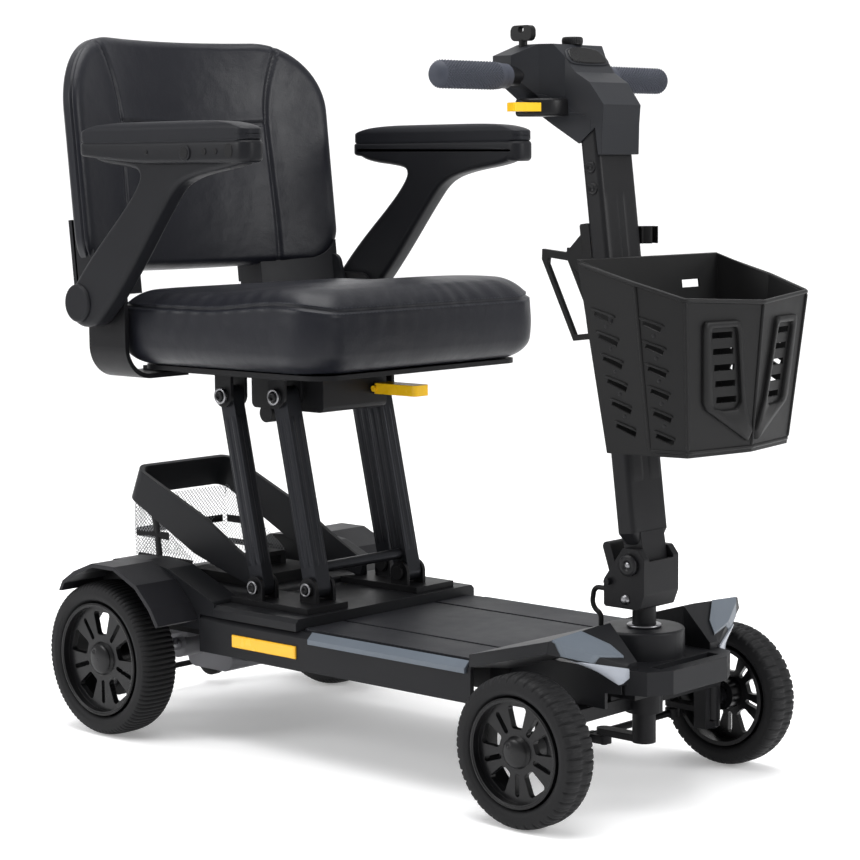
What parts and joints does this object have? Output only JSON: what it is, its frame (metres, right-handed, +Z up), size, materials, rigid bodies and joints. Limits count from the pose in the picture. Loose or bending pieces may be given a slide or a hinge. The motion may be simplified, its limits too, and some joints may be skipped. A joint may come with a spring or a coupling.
{
  "type": "mobility scooter",
  "caption": "Four-wheeled travel mobility scooter: folding padded seat on four legs, steered front wheels, tiller with folding mast, basket, deck and rear storage hoop.",
  "frame": {"origin": "middle of the footprint on the floor", "axes": "+X forward, +Y to the left, +Z up"},
  "size_m": [1.0432, 0.528, 0.9113],
  "materials": {
    "frame_black": "satin",
    "shell_plastic": "satin",
    "mat_rubber": "textured",
    "slate_plastic": "satin",
    "amber_lens": "gloss",
    "fender_plastic": "satin",
    "clear_lens": "prismatic",
    "bracket_black": "satin",
    "black_bolt": "satin",
    "cast_alloy": "cast",
    "motor_black": "satin",
    "battery_case": "textured",
    "roller_rubber": "matte",
    "tyre_rear": "ribbed",
    "tyre_front": "block tread",
    "rim_black": "satin",
    "bright_steel": "turned",
    "knuckle_black": "satin",
    "rod_steel": "satin",
    "fork_black": "satin",
    "latch_black": "satin",
    "cable_black": "satin",
    "mast_black": "satin",
    "head_plastic": "satin",
    "tube_black": "satin",
    "grip_rubber": "knurled",
    "key_metal": "polished",
    "dial_black": "knurled",
    "yellow_plastic": "gloss",
    "paddle_black": "satin",
    "clip_plastic": "satin",
    "cage_plastic": "satin",
    "basket_plastic": "satin",
    "leg_alloy": "anodised satin",
    "seat_frame_black": "satin",
    "ring_bolt": "satin",
    "seat_vinyl": "satin vinyl",
    "arm_plastic": "satin",
    "pad_rubber": "satin",
    "back_shell": "satin",
    "hoop_plastic": "satin",
    "net_fabric": "open net"
  },
  "bodies": {
    "chassis": {"chassis_frame": "frame_black", "deck_shell": "shell_plastic", "deck_mat": "mat_rubber", "slate_inserts": "slate_plastic", "side_reflectors": "amber_lens", "rear_body_cover": "shell_plastic", "rear_fenders": "fender_plastic", "front_shroud": "shell_plastic", "front_lenses": "clear_lens", "leg_bases": "bracket_black", "leg_pivot_bolts": "black_bolt", "transaxle": "cast_alloy", "drive_motor": "motor_black", "battery_pack": "battery_case", "anti_tip_arms": "frame_black", "harness_cable": "cable_black", "mesh_bag": "net_fabric"},
    "anti_tip": {"anti_tip_wheels": "roller_rubber"},
    "rear_wheel_right": {"rear_tyre_right": "tyre_rear", "rear_rim_right": "rim_black", "half_axle_right": "bright_steel"},
    "rear_wheel_left": {"rear_tyre_left": "tyre_rear", "rear_rim_left": "rim_black", "half_axle_left": "bright_steel"},
    "front_wheel_right": {"front_tyre_right": "tyre_front", "front_rim_right": "rim_black"},
    "front_wheel_left": {"front_tyre_left": "tyre_front", "front_rim_left": "rim_black"},
    "steer_knuckle_right": {"knuckle_right": "knuckle_black"},
    "steer_knuckle_left": {"knuckle_left": "knuckle_black"},
    "track_rod": {"tie_rod": "rod_steel"},
    "column": {"steering_column": "fork_black"},
    "latch": {"tiller_latch": "latch_black"},
    "tiller": {"mast": "mast_black", "tiller_head": "head_plastic", "head_underside": "head_plastic", "handlebar": "tube_black", "grips": "grip_rubber", "accessory_clip": "clip_plastic", "bottle_cage": "cage_plastic", "basket_bracket": "bracket_black"},
    "key": {"ignition_key": "key_metal"},
    "dial": {"speed_dial": "dial_black"},
    "throttle": {"forward_lever": "yellow_plastic", "reverse_lever": "paddle_black"},
    "carry_basket": {"basket": "basket_plastic"},
    "front_leg_pair": {"front_legs": "leg_alloy"},
    "rear_leg_pair": {"rear_legs": "leg_alloy"},
    "seat": {"seat_frame": "seat_frame_black", "seat_pivot_bolts": "ring_bolt", "seat_cushion": "seat_vinyl", "arm_brackets": "bracket_black"},
    "seat_release": {"release_lever": "yellow_plastic"},
    "armrest_right": {"arm_right": "arm_plastic", "arm_pad_right": "pad_rubber"},
    "armrest_left": {"arm_left": "arm_plastic", "arm_pad_left": "pad_rubber"},
    "backrest": {"back_frame": "back_shell", "back_cushion": "seat_vinyl"},
    "storage_hoop": {"hoop_frame": "hoop_plastic"}
  },
  "joints": [
    {"name": "rear_spin_right", "type": "hinge", "parent": "chassis", "child": "rear_wheel_right", "pos_m": [-0.36863, -0.204, 0.1015], "axis": [0, 1, 0], "continuous": true},
    {"name": "rear_spin_left", "type": "hinge", "parent": "chassis", "child": "rear_wheel_left", "pos_m": [-0.36863, 0.204, 0.1015], "axis": [0, 1, 0], "continuous": true},
    {"name": "steering", "type": "hinge", "parent": "chassis", "child": "column", "pos_m": [0.35637, 0, 0.228], "axis": [0, 0, 1], "range_deg": [-30, 30], "deforming": ["harness_cable"]},
    {"name": "kingpin_right", "type": "hinge", "parent": "chassis", "child": "steer_knuckle_right", "pos_m": [0.33737, -0.16, 0.088], "axis": [0, 0, 1], "range_deg": [-30, 30]},
    {"name": "kingpin_left", "type": "hinge", "parent": "chassis", "child": "steer_knuckle_left", "pos_m": [0.33737, 0.16, 0.088], "axis": [0, 0, 1], "range_deg": [-30, 30]},
    {"name": "track_rod_pivot", "type": "hinge", "parent": "column", "child": "track_rod", "pos_m": [0.29637, 0, 0.06], "axis": [0, 0, 1], "range_deg": [-30, 30]},
    {"name": "front_spin_right", "type": "hinge", "parent": "steer_knuckle_right", "child": "front_wheel_right", "pos_m": [0.33737, -0.195, 0.088], "axis": [0, 1, 0], "continuous": true},
    {"name": "front_spin_left", "type": "hinge", "parent": "steer_knuckle_left", "child": "front_wheel_left", "pos_m": [0.33737, 0.195, 0.088], "axis": [0, 1, 0], "continuous": true},
    {"name": "anti_tip_spin", "type": "hinge", "parent": "chassis", "child": "anti_tip", "pos_m": [-0.49763, 0, 0.036], "axis": [0, 1, 0], "continuous": true},
    {"name": "tiller_fold", "type": "hinge", "parent": "column", "child": "tiller", "pos_m": [0.36037, 0, 0.28], "axis": [0, -1, 0], "range_deg": [0, 34]},
    {"name": "latch_tip", "type": "hinge", "parent": "column", "child": "latch", "pos_m": [0.33037, 0, 0.258], "axis": [0, -1, 0], "range_deg": [0, 15], "stiffness_Nm_per_rad": 1},
    {"name": "throttle_swing", "type": "hinge", "parent": "tiller", "child": "throttle", "pos_m": [0.2417, 0, 0.80716], "axis": [0, 0, 1], "range_deg": [-8, 8], "stiffness_Nm_per_rad": 2},
    {"name": "key_turn", "type": "hinge", "parent": "tiller", "child": "key", "pos_m": [0.2217, -0.056, 0.87916], "axis": [0, 0, 1], "range_deg": [0, 90]},
    {"name": "dial_turn", "type": "hinge", "parent": "tiller", "child": "dial", "pos_m": [0.2497, 0, 0.88316], "axis": [0, 0, 1], "range_deg": [-135, 135]},
    {"name": "basket_lift", "type": "slide", "parent": "tiller", "child": "carry_basket", "axis": [0, 0, 1], "range_m": [0, 0.04]},
    {"name": "seat_fold", "type": "hinge", "parent": "chassis", "child": "front_leg_pair", "pos_m": [-0.10263, 0, 0.207], "axis": [0, -1, 0], "range_deg": [0, 60]},
    {"name": "rear_leg_swing", "type": "hinge", "parent": "chassis", "child": "rear_leg_pair", "pos_m": [-0.16863, 0, 0.207], "axis": [0, -1, 0], "range_deg": [0, 60]},
    {"name": "seat_level", "type": "hinge", "parent": "front_leg_pair", "child": "seat", "pos_m": [-0.1561, 0, 0.45019], "axis": [0, -1, 0], "range_deg": [-60, 0]},
    {"name": "hoop_drop", "type": "hinge", "parent": "chassis", "child": "storage_hoop", "pos_m": [-0.20063, 0, 0.205], "axis": [0, 1, 0], "range_deg": [-12, 0], "deforming": ["mesh_bag"]},
    {"name": "release_lift", "type": "hinge", "parent": "seat", "child": "seat_release", "pos_m": [-0.1081, 0.044, 0.45419], "axis": [0, -1, 0], "range_deg": [0, 8], "stiffness_Nm_per_rad": 2},
    {"name": "arm_flip_right", "type": "hinge", "parent": "seat", "child": "armrest_right", "pos_m": [-0.35763, -0.227, 0.57069], "axis": [0, -1, 0], "range_deg": [0, 100]},
    {"name": "arm_flip_left", "type": "hinge", "parent": "seat", "child": "armrest_left", "pos_m": [-0.35763, 0.227, 0.57069], "axis": [0, -1, 0], "range_deg": [0, 100]},
    {"name": "back_fold", "type": "hinge", "parent": "seat", "child": "backrest", "pos_m": [-0.35763, 0, 0.57069], "axis": [0, 1, 0], "range_deg": [0, 60]}
  ],
  "couplings": [
    {"joint": "kingpin_right", "follows": "steering", "ratio": 1},
    {"joint": "kingpin_left", "follows": "steering", "ratio": 1},
    {"joint": "track_rod_pivot", "follows": "steering", "ratio": -1},
    {"joint": "rear_leg_swing", "follows": "seat_fold", "ratio": 1},
    {"joint": "seat_level", "follows": "seat_fold", "ratio": -1},
    {"joint": "hoop_drop", "follows": "seat_fold", "ratio": -0.2}
  ]
}
